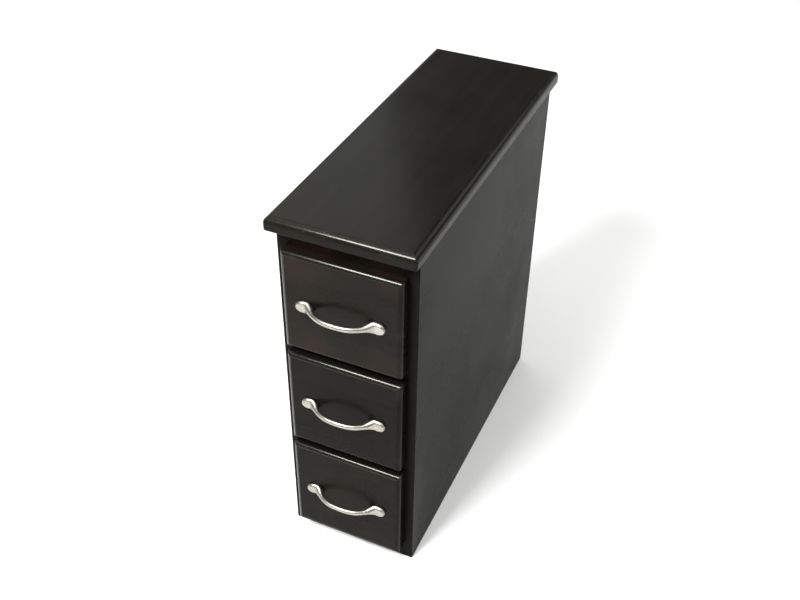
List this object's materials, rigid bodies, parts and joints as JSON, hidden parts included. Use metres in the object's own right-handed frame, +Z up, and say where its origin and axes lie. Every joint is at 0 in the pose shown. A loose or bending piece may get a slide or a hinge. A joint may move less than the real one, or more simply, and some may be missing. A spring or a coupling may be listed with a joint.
{
  "type": "apothecary cabinet",
  "caption": "Narrow free-standing wooden apothecary cabinet with overlay drawers on telescopic slides, a rounded overhanging top and bow pulls.",
  "frame": {"origin": "centre of the bounding box at floor level, with every drawer closed", "axes": "+X to the right of someone facing the drawers, -Y towards them, +Z up"},
  "size_m": [0.194, 0.537, 0.538],
  "materials": {
    "case_lacquer": "satin espresso lacquer over close-grained wood",
    "front_lacquer": "satin espresso lacquer over close-grained wood",
    "birch": "clear-sealed birch",
    "plywood": "clear-sealed plywood",
    "satin_nickel": "satin nickel plate",
    "zinc_steel": "bright zinc plate"
  },
  "bodies": {
    "case": {"top_slab": "case_lacquer", "left_side": "case_lacquer", "right_side": "case_lacquer", "back_panel": "case_lacquer", "bottom_panel": "plywood", "top_rail": "case_lacquer", "upper_mid_rail": "case_lacquer", "lower_mid_rail": "case_lacquer", "bottom_rail": "case_lacquer", "front_stretcher": "birch", "rear_stretcher": "birch", "dowels": "birch", "top_screws": "zinc_steel", "case_screws": "zinc_steel", "upper_left_outer_slide": "zinc_steel", "upper_right_outer_slide": "zinc_steel", "middle_left_outer_slide": "zinc_steel", "middle_right_outer_slide": "zinc_steel", "lower_left_outer_slide": "zinc_steel", "lower_right_outer_slide": "zinc_steel"},
    "upper_drawer": {"upper_front": "front_lacquer", "upper_box_front": "birch", "upper_box_left": "birch", "upper_box_right": "birch", "upper_box_back": "birch", "upper_box_bottom": "plywood", "upper_pull": "satin_nickel", "upper_pull_screws": "zinc_steel", "upper_box_screws": "zinc_steel", "upper_left_inner_slide": "zinc_steel", "upper_right_inner_slide": "zinc_steel"},
    "upper_runners": {"upper_left_middle_slide": "zinc_steel", "upper_right_middle_slide": "zinc_steel"},
    "middle_drawer": {"middle_front": "front_lacquer", "middle_box_front": "birch", "middle_box_left": "birch", "middle_box_right": "birch", "middle_box_back": "birch", "middle_box_bottom": "plywood", "middle_pull": "satin_nickel", "middle_pull_screws": "zinc_steel", "middle_box_screws": "zinc_steel", "middle_left_inner_slide": "zinc_steel", "middle_right_inner_slide": "zinc_steel"},
    "middle_runners": {"middle_left_middle_slide": "zinc_steel", "middle_right_middle_slide": "zinc_steel"},
    "lower_drawer": {"lower_front": "front_lacquer", "lower_box_front": "birch", "lower_box_left": "birch", "lower_box_right": "birch", "lower_box_back": "birch", "lower_box_bottom": "plywood", "lower_pull": "satin_nickel", "lower_pull_screws": "zinc_steel", "lower_box_screws": "zinc_steel", "lower_left_inner_slide": "zinc_steel", "lower_right_inner_slide": "zinc_steel"},
    "lower_runners": {"lower_left_middle_slide": "zinc_steel", "lower_right_middle_slide": "zinc_steel"}
  },
  "joints": [
    {"name": "upper_drawer_slide", "type": "slide", "parent": "case", "child": "upper_drawer", "axis": [0, -1, 0], "range_m": [0, 0.4]},
    {"name": "upper_runner_slide", "type": "slide", "parent": "case", "child": "upper_runners", "axis": [0, -1, 0], "range_m": [0, 0.2]},
    {"name": "middle_drawer_slide", "type": "slide", "parent": "case", "child": "middle_drawer", "axis": [0, -1, 0], "range_m": [0, 0.4]},
    {"name": "middle_runner_slide", "type": "slide", "parent": "case", "child": "middle_runners", "axis": [0, -1, 0], "range_m": [0, 0.2]},
    {"name": "lower_drawer_slide", "type": "slide", "parent": "case", "child": "lower_drawer", "axis": [0, -1, 0], "range_m": [0, 0.4]},
    {"name": "lower_runner_slide", "type": "slide", "parent": "case", "child": "lower_runners", "axis": [0, -1, 0], "range_m": [0, 0.2]}
  ],
  "couplings": [
    {"joint": "upper_runner_slide", "follows": "upper_drawer_slide", "ratio": 0.5},
    {"joint": "middle_runner_slide", "follows": "middle_drawer_slide", "ratio": 0.5},
    {"joint": "lower_runner_slide", "follows": "lower_drawer_slide", "ratio": 0.5}
  ]
}
